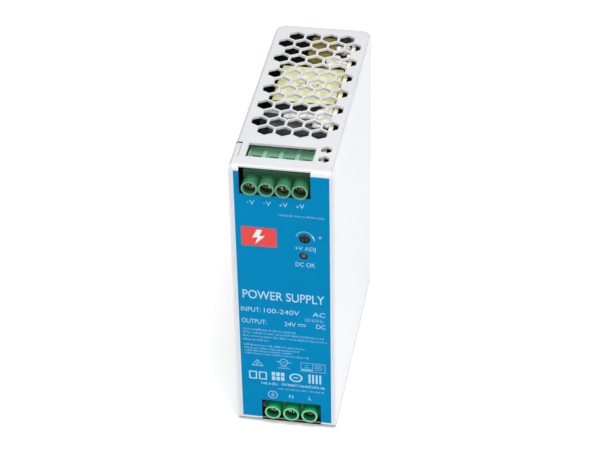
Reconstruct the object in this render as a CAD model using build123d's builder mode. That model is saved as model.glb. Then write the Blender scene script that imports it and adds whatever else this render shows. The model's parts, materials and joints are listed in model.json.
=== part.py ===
"""DIN rail power supply: sheet-metal case, perforated front cover, two screw terminal
blocks with rising clamps, main board with its components, and a spring-loaded rail latch.

Frame: +X to the right seen from the front, +Y from the front panel to the rail, +Z up.
Origin at the centre of the footprint, on the bottom of the case. Millimetres.
"""
import os
from math import cos, pi, radians, sin, sqrt

from build123d import *

os.makedirs("parts", exist_ok=True)

# ---------------------------------------------------------------- driving dimensions
WIDTH = 40.0            # case, X
HEIGHT = 125.2          # case, Z
CASE_DEPTH = 103.5      # front panel to rear panel, Y
CLIP_DEPTH = 9.0        # rail clip behind the rear panel
TUBE_OUT = 1.0          # screw tubes in front of the front panel
SHEET = 1.0             # steel sheet
R_FRONT = 2.0           # bends along the front panel
R_REAR = 5.0            # upright rear edges, in plan
R_EDGE = 1.3            # long edges of the two sides, seen from the front

YF = -(TUBE_OUT + CASE_DEPTH + CLIP_DEPTH) / 2 + TUBE_OUT    # outer face of the front panel
YB = YF + CASE_DEPTH                                         # outer face of the rear panel
YR = YB + CLIP_DEPTH                                         # rearmost face of the clip

HEX_AF, HEX_PITCH_X, HEX_PITCH_Y = 6.0, 6.9, 5.87            # ventilation grid
HEX_FIRST = 25.4                                             # first row, behind the front panel
HEX_ROWS = 13
WEB = 0.86                                                   # sheet left between two holes

OUT_PITCH, OUT_POLES, OUT_X0, OUT_Z = 6.35, 4, -11.95, 116.1
IN_PITCH, IN_POLES, IN_X0, IN_Z = 7.5, 3, -5.6, 6.0
CLAMP_TRAVEL = 2.5
BOARD_X0, BOARD_X1 = 12.7, 14.3                              # main board, component side and solder side
TRIM_X, TRIM_Z, TRIM_HOLE = 8.55, 94.4, 2.15
LED_X, LED_Z, LED_HOLE = 8.1, 86.3, 1.65
RAIL_Z = 65.0                                                # centre line of the 35 mm rail
OUT_OPEN = (-16.0, 11.1)                                     # terminal opening in the front, X
IN_OPEN = (-10.1, 13.95)
LATCH_TRAVEL = 4.5


def block(x0, x1, y0, y1, z0, z1, mode=Mode.ADD):
    with Locations(((x0 + x1) / 2, (y0 + y1) / 2, (z0 + z1) / 2)):
        return Box(x1 - x0, y1 - y0, z1 - z0, mode=mode)


def rod_x(y, z, r, x0, x1, mode=Mode.ADD):
    with Locations(((x0 + x1) / 2, y, z)):
        return Cylinder(r, x1 - x0, rotation=(0, 90, 0), mode=mode)


def rod_y(x, z, r, y0, y1, mode=Mode.ADD):
    with Locations((x, (y0 + y1) / 2, z)):
        return Cylinder(r, y1 - y0, rotation=(90, 0, 0), mode=mode)


def rod_z(x, y, r, z0, z1, mode=Mode.ADD):
    with Locations((x, y, (z0 + z1) / 2)):
        return Cylinder(r, z1 - z0, mode=mode)


def save(part, name):
    part.label = name
    export_step(part, f"parts/{name}.step")


def u(d):
    """Distance behind the outer face of the front panel, as a Y coordinate."""
    return YF + d


# ================================================================ enclosure
COVER_SCREWS = [(-9.5, 116.5), (9.5, 116.5), (-9.5, 8.7), (9.5, 8.7)]
BRACKET_SCREWS = [(-15.6, RAIL_Z - 12), (15.6, RAIL_Z - 12), (-15.6, RAIL_Z + 12), (15.6, RAIL_Z + 12)]
STANDOFFS = [(8.0, 112.0), (94.0, 117.5), (30.0, 17.5), (94.0, 7.5)]     # (behind the front, Z)

# Left side, rear and right side, bent from one sheet.
with BuildPart() as side_shell:
    with BuildSketch(Plane.XY) as shell_plan:
        with BuildLine():
            Polyline((-20, YF), (20, YF), (20, YB), (-20, YB), close=True)
        make_face()
        fillet(shell_plan.vertices().group_by(Axis.Y)[-1], R_REAR)
    extrude(amount=HEIGHT)
    with BuildSketch(Plane.XY) as shell_inside:
        with BuildLine():
            Polyline((-19, YF - 1), (19, YF - 1), (19, YB - SHEET), (-19, YB - SHEET), close=True)
        make_face()
        fillet(shell_inside.vertices().group_by(Axis.Y)[-1], R_REAR - SHEET)
    extrude(amount=HEIGHT, mode=Mode.SUBTRACT)
    with BuildSketch(Plane.YZ.offset(-21)) as shell_side:
        with BuildLine():
            Polyline((YF, 0), (YB, 0), (YB, HEIGHT), (YF, HEIGHT), close=True)
        make_face()
        fillet(shell_side.vertices().group_by(Axis.X)[0], R_FRONT)
    extrude(amount=42, mode=Mode.INTERSECT)
    with BuildSketch(Plane.XZ.offset(-YF + 1)):
        with Locations((0, HEIGHT / 2)):
            RectangleRounded(WIDTH, HEIGHT, R_EDGE)
    extrude(amount=-CASE_DEPTH - 2, mode=Mode.INTERSECT)
    # locking tab of the left side, bent into the notch of the top panel
    block(-20.5, -19.35, u(6.75), u(15.85), HEIGHT - 0.9, HEIGHT + 1, mode=Mode.SUBTRACT)
    block(-19.4, -17.5, u(6.95), u(15.65), HEIGHT - 1.15, HEIGHT - 0.25)
    for x, z in COVER_SCREWS:
        rod_y(x, z, 1.6, YB - 2, YB + 1, mode=Mode.SUBTRACT)
    for x, z in BRACKET_SCREWS:
        rod_y(x, z, 1.35, YB - 2, YB + 1, mode=Mode.SUBTRACT)
save(side_shell.part, "side_shell")

# Front, top and bottom, bent from one sheet, with the ventilation grid.
with BuildPart() as front_cover:
    with BuildSketch(Plane.YZ.offset(-18.95)) as cover_outer:
        with BuildLine():
            Polyline((YF, 0), (YB, 0), (YB, HEIGHT), (YF, HEIGHT), close=True)
        make_face()
        fillet(cover_outer.vertices().group_by(Axis.X)[0], R_FRONT)
    extrude(amount=37.9)
    with BuildSketch(Plane.YZ.offset(-20)) as cover_inner:
        with BuildLine():
            Polyline(
                (YF + SHEET, SHEET), (YB - SHEET, SHEET), (YB - SHEET, HEIGHT - SHEET), (YF + SHEET, HEIGHT - SHEET),
                close=True,
            )
        make_face()
        fillet(cover_inner.vertices().group_by(Axis.X)[0], R_FRONT - SHEET)
    extrude(amount=40, mode=Mode.SUBTRACT)
    with BuildSketch(Plane.XY.offset(-1)) as cover_plan:
        with BuildLine():
            Polyline((-18.95, YF - 1), (18.95, YF - 1), (18.95, YB - 1.05), (-18.95, YB - 1.05), close=True)
        make_face()
        fillet(cover_plan.vertices().group_by(Axis.Y)[-1], R_REAR - 1.05)
    extrude(amount=HEIGHT + 2, mode=Mode.INTERSECT)
    # screw tabs inside the rear panel
    block(-13, 13, YB - 2.1, YB - 1.1, 111.5, HEIGHT - 0.4)
    block(-13, 13, YB - 2.1, YB - 1.1, 0.4, 13.7)
    for x, z in COVER_SCREWS:
        rod_y(x, z, 1.55, YB - 3, YB, mode=Mode.SUBTRACT)
    # ventilation grid, top and bottom
    for row in range(HEX_ROWS):
        across = 4 if row % 2 == 0 else 5
        y = u(HEX_FIRST + row * HEX_PITCH_Y)
        with BuildSketch(Plane.XY.offset(-1)):
            with Locations(*[((i - (across - 1) / 2) * HEX_PITCH_X, y) for i in range(across)]):
                RegularPolygon(HEX_AF / 2, 6, major_radius=False, rotation=30)
        extrude(amount=HEIGHT + 2, mode=Mode.SUBTRACT)
    with BuildSketch(Plane.XY.offset(HEIGHT - 3)):
        with Locations((14.7, u(9.0)), (14.7, u(15.3))):
            RegularPolygon(2.0, 6, major_radius=False, rotation=30)
    extrude(amount=5, mode=Mode.SUBTRACT)
    # wire windows, top and bottom
    block(-14.7, 10.9, u(7.0), u(16.0), HEIGHT - 3, HEIGHT + 1, mode=Mode.SUBTRACT)
    block(-9.0, 12.9, u(7.0), u(16.4), -1, 2, mode=Mode.SUBTRACT)
    # terminal openings in the front
    block(*OUT_OPEN, u(-1), u(0.9), 112.9, HEIGHT - 0.45, mode=Mode.SUBTRACT)
    block(*OUT_OPEN, u(0.8), u(2.2), 112.9, HEIGHT - SHEET, mode=Mode.SUBTRACT)
    block(*IN_OPEN, u(-1), u(1.05), SHEET, 11.75, mode=Mode.SUBTRACT)
    rod_y(TRIM_X, TRIM_Z, TRIM_HOLE, u(-1), u(2), mode=Mode.SUBTRACT)
    rod_y(LED_X, LED_Z, LED_HOLE, u(-1), u(2), mode=Mode.SUBTRACT)
    # notch for the locking tab
    block(-19.5, -17.3, u(6.75), u(15.85), HEIGHT - 2, HEIGHT + 1, mode=Mode.SUBTRACT)
save(front_cover.part, "front_cover")

with BuildPart() as front_label:
    block(-18.0, 18.2, u(-0.15), u(0), 2.6, 123.0)
    block(*OUT_OPEN, u(-1), u(1), 112.9, 126, mode=Mode.SUBTRACT)
    block(*IN_OPEN, u(-1), u(1), 0, 11.75, mode=Mode.SUBTRACT)
    rod_y(TRIM_X, TRIM_Z, TRIM_HOLE, u(-1), u(1), mode=Mode.SUBTRACT)
    rod_y(LED_X, LED_Z, LED_HOLE, u(-1), u(1), mode=Mode.SUBTRACT)
save(front_label.part, "front_label")

# Pan-head screws through the rear panel into the tabs of the front cover.
with BuildPart() as cover_screws:
    for x, z in COVER_SCREWS:
        rod_y(x, z, 2.7, YB, YB + 1.7)
        rod_y(x, z, 1.5, YB - 3.3, YB)
    fillet(cover_screws.edges().filter_by(GeomType.CIRCLE).group_by(Axis.Y)[-1], 0.8)
    for x, z in COVER_SCREWS:
        block(x - 1.6, x + 1.6, YB + 0.8, YB + 2, z - 0.3, z + 0.3, mode=Mode.SUBTRACT)
        block(x - 0.3, x + 0.3, YB + 0.8, YB + 2, z - 1.6, z + 1.6, mode=Mode.SUBTRACT)
save(cover_screws.part, "cover_screws")

# ================================================================ main board and its mounting
with BuildPart() as main_board:
    block(BOARD_X0, BOARD_X1, u(1.7), u(100.0), 2.2, 122.8)
    block(BOARD_X0 - 1, BOARD_X1 + 1, u(1), u(23.4), 1, 15.2, mode=Mode.SUBTRACT)          # room for the input block
    for d, z in STANDOFFS:
        rod_x(u(d), z, 1.6, BOARD_X0 - 1, BOARD_X1 + 1, mode=Mode.SUBTRACT)
    block(BOARD_X0 - 1, BOARD_X1 + 1, u(20.9), u(22.7), 98.9, 105.1, mode=Mode.SUBTRACT)   # slots for the two small boards
    block(BOARD_X0 - 1, BOARD_X1 + 1, u(24.0), u(25.8), 5.9, 11.1, mode=Mode.SUBTRACT)
save(main_board.part, "main_board")

with BuildPart() as insulation_sheet:
    block(17.5, 17.8, u(2.5), u(100.5), 2.2, 122.8)
    for d, z in STANDOFFS:
        rod_x(u(d), z, 2.6, 16, 19, mode=Mode.SUBTRACT)
save(insulation_sheet.part, "insulation_sheet")

# Second insulation sheet, folded along the left side and across the rear.
with BuildPart() as insulation_liner:
    with BuildSketch(Plane.XY.offset(1.5)):
        with BuildLine():
            Polyline(
                (-18.75, u(2.5)), (-18.75, u(97.5)), (-16.3, u(100.0)), (11.5, u(100.0)), (11.5, u(99.6)),
                (-16.13, u(99.6)), (-18.35, u(97.33)), (-18.35, u(2.5)),
                close=True,
            )
        make_face()
    extrude(amount=122.3)
save(insulation_liner.part, "insulation_liner")

with BuildPart() as board_standoffs:
    for d, z in STANDOFFS:
        rod_x(u(d), z, 2.5, BOARD_X1, 19.0)
        rod_x(u(d), z, 1.55, BOARD_X1 - 1, 18.6, mode=Mode.SUBTRACT)
save(board_standoffs.part, "board_standoffs")

with BuildPart() as board_screws:
    for d, z in STANDOFFS:
        rod_x(u(d), z, 2.7, BOARD_X0 - 1.9, BOARD_X0)
        rod_x(u(d), z, 1.5, BOARD_X0, 18.2)
    for d, z in STANDOFFS:
        block(BOARD_X0 - 2, BOARD_X0 - 0.9, u(d) - 1.6, u(d) + 1.6, z - 0.3, z + 0.3, mode=Mode.SUBTRACT)
        block(BOARD_X0 - 2, BOARD_X0 - 0.9, u(d) - 0.3, u(d) + 0.3, z - 1.6, z + 1.6, mode=Mode.SUBTRACT)
save(board_screws.part, "board_screws")

# Small boards across the case that carry the terminal blocks; a tab of each plugs into the main board.
with BuildPart() as output_board:
    block(-16.8, BOARD_X0 - 0.2, u(21.0), u(22.6), 97.0, 121.6)
    block(BOARD_X0 - 0.3, BOARD_X1 + 0.7, u(21.0), u(22.6), 99.0, 105.0)
    for i in range(OUT_POLES):
        x = OUT_X0 + i * OUT_PITCH
        block(x - 1.05, x + 1.05, u(20), u(24), OUT_Z - 5.75, OUT_Z - 4.65, mode=Mode.SUBTRACT)
save(output_board.part, "output_board")

with BuildPart() as input_board:
    block(-11.6, BOARD_X0 - 0.2, u(24.1), u(25.7), 2.2, 17.2)
    block(BOARD_X0 - 0.3, BOARD_X1 + 0.7, u(24.1), u(25.7), 6.0, 11.0)
    for i in range(IN_POLES):
        x = IN_X0 + i * IN_PITCH
        block(x - 1.05, x + 1.05, u(23), u(27), IN_Z + 4.65, IN_Z + 5.75, mode=Mode.SUBTRACT)
save(input_board.part, "input_board")

# ================================================================ terminal blocks
# Each pole: a screw held in its tube, a clamp that the screw draws forwards, and a fixed contact inside the clamp.
CLAMP_Z = 2.5           # half height of a clamp
CH_Z = 2.7              # half height of its chamber
for name, poles, pitch, x0, zc, side, tube_r, bore_r, entry_z, rear_u in (
    ("output", OUT_POLES, OUT_PITCH, OUT_X0, OUT_Z, 1, 3.1, 2.45, 121.2, 21.0),
    ("input", IN_POLES, IN_PITCH, IN_X0, IN_Z, -1, 3.25, 2.6, 1.3, 24.1),
):
    xs = [x0 + i * pitch for i in range(poles)]
    far_z = zc - side * 7.4                             # face away from the wire entries
    low, high = sorted((far_z, entry_z))
    with BuildPart() as terminal_block:
        block(xs[0] - pitch / 2 + 0.1, xs[-1] + pitch / 2 - 0.1, u(4.0), u(rear_u), low, high)
        # relief below the entries at the rear, so that the body steps down towards its board
        r0, r1 = sorted((entry_z + side * 0.5, entry_z - side * 1.2))
        block(xs[0] - 20, xs[-1] + 20, u(20.0), u(rear_u + 0.5), r0, r1, mode=Mode.SUBTRACT)
        block(BOARD_X0 - 0.25, BOARD_X0 + 2, u(23.1), u(rear_u + 4), 0, 20, mode=Mode.SUBTRACT)
        for x in xs:
            rod_y(x, zc, tube_r, u(-TUBE_OUT), u(4.2))
        for x in xs:
            rod_y(x, zc, bore_r, u(-TUBE_OUT - 1), u(4.2), mode=Mode.SUBTRACT)
            rod_y(x, zc, 1.6, u(4), u(5.2), mode=Mode.SUBTRACT)
            block(x - 2.75, x + 2.75, u(4.9), u(15.85), zc - CH_Z, zc + CH_Z, mode=Mode.SUBTRACT)
            # wire funnel
            with BuildSketch(Plane.YZ.offset(x - 2.35)):
                with BuildLine():
                    Polyline(
                        (u(9.8), zc + side * 2.4), (u(14.7), zc + side * 2.4), (u(15.2), zc + side * (CH_Z + 0.3)),
                        (u(19.4), entry_z + side * 0.4), (u(9.2), entry_z + side * 0.4), (u(9.8), zc + side * CH_Z),
                        close=True,
                    )
                make_face()
            extrude(amount=4.7, mode=Mode.SUBTRACT)
            # slot for the contact
            c0, c1 = sorted((zc - side * 2.4, zc - side * 5.7))
            block(x - 2.0, x + 2.0, u(9.15), u(10.05), c0, c1, mode=Mode.SUBTRACT)
            c0, c1 = sorted((zc - side * 4.7, zc - side * 5.7))
            block(x - 2.0, x + 2.0, u(9.15), u(rear_u + 1), c0, c1, mode=Mode.SUBTRACT)
    save(terminal_block.part, f"{name}_terminal_block")

    with BuildPart() as contacts:
        for x in xs:
            z0, z1 = sorted((zc + side * 2.3, zc - side * 5.6))
            block(x - 1.9, x + 1.9, u(9.2), u(10.0), z0, z1)
            z0, z1 = sorted((zc - side * 4.8, zc - side * 5.6))
            block(x - 1.9, x + 1.9, u(9.2), u(rear_u - 0.2), z0, z1)
            block(x - 0.95, x + 0.95, u(rear_u - 0.3), u(rear_u + 3.2), z0, z1)
    save(contacts.part, f"{name}_contacts")

    for i, x in enumerate(xs, 1):
        with BuildPart() as screw:
            rod_y(x, zc, 2.2, u(2.0), u(4.15))
            chamfer(screw.edges().filter_by(GeomType.CIRCLE).group_by(Axis.Y)[0], 0.25)
            rod_y(x, zc, 1.5, u(4.1), u(9.15))
            for k in range(9):                          # thread grooves
                with Locations((x, u(4.9 + 0.5 * k), zc)):
                    Torus(1.62, 0.2, rotation=(90, 0, 0), mode=Mode.SUBTRACT)
            block(x - 2.3, x + 2.3, u(1.9), u(2.75), zc - 0.3, zc + 0.3, mode=Mode.SUBTRACT)
            block(x - 0.3, x + 0.3, u(1.9), u(3.0), zc - 1.2, zc + 1.2, mode=Mode.SUBTRACT)
        save(screw.part, f"{name}_screw_{i}")
        with BuildPart() as clamp:
            block(x - 2.65, x + 2.65, u(7.5), u(15.7), zc - CLAMP_Z, zc + CLAMP_Z)
            block(x - 2.2, x + 2.2, u(8.9), u(14.7), zc - 3, zc + 3, mode=Mode.SUBTRACT)
            rod_y(x, zc, 1.55, u(7), u(9), mode=Mode.SUBTRACT)
            for g in (-1.2, 0, 1.2):                    # grip ribs on the wire side
                block(x - 2.2, x + 2.2, u(14.55), u(14.75), zc + g - 0.2, zc + g + 0.2)
        save(clamp.part, f"{name}_clamp_{i}")

# ================================================================ trimmer and lamp behind the front panel
with BuildPart() as trimmer_body:
    block(TRIM_X - 3.3, BOARD_X0, u(1.35), u(6.2), TRIM_Z - 3.3, TRIM_Z + 3.3)
    rod_y(TRIM_X, TRIM_Z, 1.3, u(1), u(3.6), mode=Mode.SUBTRACT)
save(trimmer_body.part, "trimmer_body")

with BuildPart() as trimmer_rotor:
    rod_y(TRIM_X, TRIM_Z, 1.85, u(0.35), u(1.3))
    rod_y(TRIM_X, TRIM_Z, 1.25, u(1.2), u(3.5))
    block(TRIM_X - 1.5, TRIM_X + 1.5, u(0.2), u(0.95), TRIM_Z - 0.28, TRIM_Z + 0.28, mode=Mode.SUBTRACT)
    block(TRIM_X - 0.28, TRIM_X + 0.28, u(0.2), u(0.95), TRIM_Z - 1.5, TRIM_Z + 1.5, mode=Mode.SUBTRACT)
save(trimmer_rotor.part, "trimmer_rotor")

with BuildPart() as status_lamp:
    rod_y(LED_X, LED_Z, 1.45, u(0.9), u(3.9))
    with Locations((LED_X, u(0.9), LED_Z)):
        Sphere(1.45)
    rod_y(LED_X, LED_Z, 1.9, u(3.1), u(4.0))
    block(LED_X - 3, LED_X + 3, u(-1), u(-0.1), LED_Z - 3, LED_Z + 3, mode=Mode.SUBTRACT)
save(status_lamp.part, "status_lamp")

with BuildPart() as lamp_holder:
    block(LED_X - 2.3, BOARD_X0, u(4.05), u(9.0), LED_Z - 2.4, LED_Z + 2.4)
save(lamp_holder.part, "lamp_holder")

# ================================================================ transformer
with BuildPart() as transformer_core:
    block(-13.8, 11.1, u(56.0), u(83.2), 88.0, 118.4)
    for z0, z1 in ((93.4, 98.6), (107.8, 113.0)):
        block(-8.9, 6.2, u(50), u(90), z0, z1, mode=Mode.SUBTRACT)
    fillet(transformer_core.edges().filter_by(Axis.Y).group_by(Axis.Z)[-1], 0.8)
    fillet(transformer_core.edges().filter_by(Axis.Y).group_by(Axis.Z)[0], 0.8)
save(transformer_core.part, "transformer_core")

with BuildPart() as transformer_winding:
    block(-8.6, 5.9, u(52.6), u(83.8), 93.7, 112.7)
    fillet(transformer_winding.edges().filter_by(Axis.X), 3.0)
    block(-9, 6.5, u(55.7), u(83.5), 98.3, 108.1, mode=Mode.SUBTRACT)
save(transformer_winding.part, "transformer_winding")

with BuildPart() as transformer_tape:
    with BuildSketch(Plane.XZ.offset(-u(56.6))):
        with Locations((-1.35, 103.2)):
            RectangleRounded(25.7, 31.2, 1.2)
            RectangleRounded(25.0, 30.5, 0.75, mode=Mode.SUBTRACT)
    extrude(amount=-26.0)
save(transformer_tape.part, "transformer_tape")

with BuildPart() as transformer_base:
    block(11.55, BOARD_X0, u(55.4), u(83.6), 86.5, 119.4)
save(transformer_base.part, "transformer_base")

with BuildPart() as snubber_capacitor:
    block(-4.2, 6.8, u(84.3), u(99.2), 92.0, 123.5)
    fillet(snubber_capacitor.edges().filter_by(Axis.Z), 1.5)
    fillet(snubber_capacitor.edges().group_by(Axis.Z)[-1], 0.6)
    block(6.0, BOARD_X0, u(86.0), u(87.0), 96.0, 97.0)
    block(6.0, BOARD_X0, u(96.0), u(97.0), 96.0, 97.0)
save(snubber_capacitor.part, "snubber_capacitor")

# ================================================================ capacitors
def can(y, z, r, top_x):
    """Electrolytic capacitor standing on the board, with a rolled groove near its foot."""
    rod_x(y, z, r, top_x, BOARD_X0)


OUTPUT_CANS = [(29.2, 115.0), (40.0, 115.0), (29.2, 104.2), (40.0, 104.2)]
with BuildPart() as output_capacitors:
    for d, z in OUTPUT_CANS:
        can(u(d), z, 5.0, -12.1)
    fillet(output_capacitors.edges().filter_by(GeomType.CIRCLE).group_by(Axis.X)[0], 0.9)
    for d, z in OUTPUT_CANS:
        with Locations((BOARD_X0 - 3.0, u(d), z)):
            Torus(5.3, 0.6, rotation=(0, 90, 0), mode=Mode.SUBTRACT)
        block(-13, -11.9, u(d) - 3.2, u(d) + 3.2, z - 0.15, z + 0.15, mode=Mode.SUBTRACT)
        block(-13, -11.9, u(d) - 0.15, u(d) + 0.15, z - 3.2, z + 3.2, mode=Mode.SUBTRACT)
save(output_capacitors.part, "output_capacitors")

BULK_CANS = [(87.2, 66.5), (64.0, 66.5)]
with BuildPart() as bulk_capacitors:
    for d, z in BULK_CANS:
        can(u(d), z, 11.0, -17.0)
    fillet(bulk_capacitors.edges().filter_by(GeomType.CIRCLE).group_by(Axis.X)[0], 1.2)
    for d, z in BULK_CANS:
        with Locations((BOARD_X0 - 4.0, u(d), z)):
            Torus(11.4, 0.8, rotation=(0, 90, 0), mode=Mode.SUBTRACT)
        block(-18, -16.75, u(d) - 7.5, u(d) + 7.5, z - 0.2, z + 0.2, mode=Mode.SUBTRACT)
        block(-18, -16.75, u(d) - 0.2, u(d) + 0.2, z - 7.5, z + 7.5, mode=Mode.SUBTRACT)
save(bulk_capacitors.part, "bulk_capacitors")

with BuildPart() as film_capacitor:
    block(-5.0, BOARD_X0, u(62.0), u(80.0), 8.0, 17.5)
    fillet(film_capacitor.edges().group_by(Axis.X)[0], 0.8)
save(film_capacitor.part, "line_film_capacitor")

with BuildPart() as disc_capacitors:
    for d, z in ((84.0, 14.0), (84.0, 24.0), (49.0, 76.2)):
        rod_y(BOARD_X0 - 5.2, z, 4.0, u(d), u(d + 3.4))
        fillet(disc_capacitors.edges().filter_by(GeomType.CIRCLE).group_by(Axis.Y)[0], 0.8)
        block(BOARD_X0 - 2.8, BOARD_X0, u(d + 1.4), u(d + 2.0), z - 2.8, z - 2.2)
        block(BOARD_X0 - 2.8, BOARD_X0, u(d + 1.4), u(d + 2.0), z + 2.2, z + 2.8)
save(disc_capacitors.part, "disc_capacitors")

# ================================================================ line side
with BuildPart() as fuse:
    rod_z(BOARD_X0 - 3.2, u(30.0), 2.6, 26.0, 46.0)
    fillet(fuse.edges().filter_by(GeomType.CIRCLE), 0.6)
    block(BOARD_X0 - 3.6, BOARD_X0, u(29.6), u(30.4), 25.2, 26.2)
    block(BOARD_X0 - 3.6, BOARD_X0, u(29.6), u(30.4), 45.8, 46.8)
save(fuse.part, "line_fuse")

with BuildPart() as varistor:
    rod_y(BOARD_X0 - 7.0, 34.0, 5.5, u(36.0), u(40.0))
    fillet(varistor.edges().filter_by(GeomType.CIRCLE), 1.2)
    block(BOARD_X0 - 3.4, BOARD_X0, u(37.7), u(38.3), 30.6, 31.2)
    block(BOARD_X0 - 3.4, BOARD_X0, u(37.7), u(38.3), 36.8, 37.4)
save(varistor.part, "varistor")

with BuildPart() as thermistor:
    rod_y(BOARD_X0 - 8.0, 34.0, 6.5, u(46.0), u(51.0))
    fillet(thermistor.edges().filter_by(GeomType.CIRCLE), 1.4)
    block(BOARD_X0 - 3.4, BOARD_X0, u(48.2), u(48.8), 30.4, 31.0)
    block(BOARD_X0 - 3.4, BOARD_X0, u(48.2), u(48.8), 37.0, 37.6)
save(thermistor.part, "inrush_thermistor")

with BuildPart() as choke_core:
    block(-8.0, 9.0, u(38.0), u(58.0), 8.0, 24.0)
    block(-4.0, 5.0, u(37), u(59), 11.0, 21.0, mode=Mode.SUBTRACT)
    block(9.0, BOARD_X0, u(38.0), u(58.0), 8.0, 24.0)
save(choke_core.part, "line_choke_core")

with BuildPart() as choke_windings:
    for z0, z1 in ((11.3, 14.9), (17.1, 20.7)):
        block(-3.7, 4.7, u(36.0), u(60.0), z0, z1)
save(choke_windings.part, "line_choke_windings")

with BuildPart() as bridge_rectifier:
    block(-6.0, BOARD_X0 - 3.0, u(66.0), u(88.0), 34.0, 37.6)
    rod_z(-2.0, u(77.0), 1.7, 33, 39, mode=Mode.SUBTRACT)
    for k in range(4):
        block(BOARD_X0 - 3.1, BOARD_X0, u(68.8 + k * 5.08), u(70.0 + k * 5.08), 35.4, 36.0)
save(bridge_rectifier.part, "bridge_rectifier")

# ================================================================ heat sinks and power semiconductors
with BuildPart() as primary_heatsink:
    block(-15.5, BOARD_X0, u(54.0), u(99.0), 49.0, 51.0)
    block(-15.5, -13.5, u(54.0), u(99.0), 41.0, 49.0)
    for d in (61.0, 75.0):
        rod_z(0.5, u(d), 1.6, 48, 52, mode=Mode.SUBTRACT)
save(primary_heatsink.part, "primary_heatsink")

with BuildPart() as switching_transistors:
    for d in (61.0, 75.0):
        block(-3.0, 6.5, u(d - 5.0), u(d + 5.0), 44.4, 49.0)
        block(-3.0, 3.0, u(d - 5.0), u(d + 5.0), 44.0, 47.6, mode=Mode.SUBTRACT)
        rod_z(0.5, u(d), 1.6, 43, 50, mode=Mode.SUBTRACT)
        for k in (-2.54, 0, 2.54):
            block(6.4, BOARD_X0, u(d + k - 0.4), u(d + k + 0.4), 46.2, 46.7)
save(switching_transistors.part, "switching_transistors")

with BuildPart() as secondary_heatsink:
    block(-16.6, BOARD_X0, u(46.2), u(48.6), 76.5, 119.4)
    block(-16.6, -14.2, u(48.5), u(54.0), 76.5, 104.0)
    for z in (93.7, 82.3):
        rod_y(0.5, z, 1.6, u(45), u(50), mode=Mode.SUBTRACT)
save(secondary_heatsink.part, "secondary_heatsink")

RECTIFIERS = (93.7, 82.3)
with BuildPart() as output_rectifiers:
    for z in RECTIFIERS:
        block(-3.0, 6.5, u(41.6), u(46.2), z - 5.0, z + 5.0)
        block(-3.0, 3.0, u(41.0), u(45.0), z - 5.0, z + 5.0, mode=Mode.SUBTRACT)
        rod_y(0.5, z, 1.6, u(41), u(47), mode=Mode.SUBTRACT)
        for k in (-2.54, 0, 2.54):
            block(6.4, BOARD_X0, u(43.4), u(43.9), z + k - 0.4, z + k + 0.4)
save(output_rectifiers.part, "output_rectifiers")

with BuildPart() as heatsink_screws:
    for d in (61.0, 75.0):
        rod_z(0.5, u(d), 2.6, 51.0, 52.7)
        rod_z(0.5, u(d), 1.5, 46.0, 51.0)
        block(0.5 - 1.6, 0.5 + 1.6, u(d) - 0.3, u(d) + 0.3, 51.9, 53, mode=Mode.SUBTRACT)
        block(0.5 - 0.3, 0.5 + 0.3, u(d) - 1.6, u(d) + 1.6, 51.9, 53, mode=Mode.SUBTRACT)
    for z in RECTIFIERS:
        rod_y(0.5, z, 2.6, u(48.6), u(50.3))
        rod_y(0.5, z, 1.5, u(44.9), u(48.6))
        block(0.5 - 1.6, 0.5 + 1.6, u(49.5), u(51), z - 0.3, z + 0.3, mode=Mode.SUBTRACT)
        block(0.5 - 0.3, 0.5 + 0.3, u(49.5), u(51), z - 1.6, z + 1.6, mode=Mode.SUBTRACT)
save(heatsink_screws.part, "heatsink_screws")

# ================================================================ output choke and control parts
CHOKE = (36.5, 66.0)        # behind the front, Z
with BuildPart() as output_choke_core:
    rod_x(u(CHOKE[0]), CHOKE[1], 9.5, 1.0, 10.0)
    rod_x(u(CHOKE[0]), CHOKE[1], 5.2, 0, 11, mode=Mode.SUBTRACT)
    fillet(output_choke_core.edges().filter_by(GeomType.CIRCLE), 0.8)
save(output_choke_core.part, "output_choke_core")

with BuildPart() as output_choke_winding:
    with BuildSketch(Plane.XY):
        with Locations((7.35, 0)):
            RectangleRounded(6.9, 11.6, 1.2)
            RectangleRounded(4.7, 9.4, 0.5, mode=Mode.SUBTRACT)
    extrude(amount=0.55, both=True)
with BuildPart() as choke_turns:
    for k in range(13):
        a = k * 360 / 14
        turn = (
            Pos(5.5, u(CHOKE[0]), CHOKE[1]) * Rot(a, 0, 0) * Rot(0, 0, 90) * output_choke_winding.part
        )
        add(turn)
save(choke_turns.part, "output_choke_winding")

with BuildPart() as glue_beads:
    # silicone that holds the tall parts against vibration
    block(0.5, 12.5, u(37.2), u(47.8), 120.1, 122.2)
    block(-6.0, 0.6, u(42.5), u(46.0), 120.1, 121.3)
    block(3.6, 12.5, u(81.4), u(84.1), 119.5, 122.4)
    block(7.0, 10.6, u(93.0), u(98.4), 115.0, 120.0)
    block(5.7, 10.7, u(23.0), u(27.0), 120.2, 121.6)
save(glue_beads.part, "silicone_beads")

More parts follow.
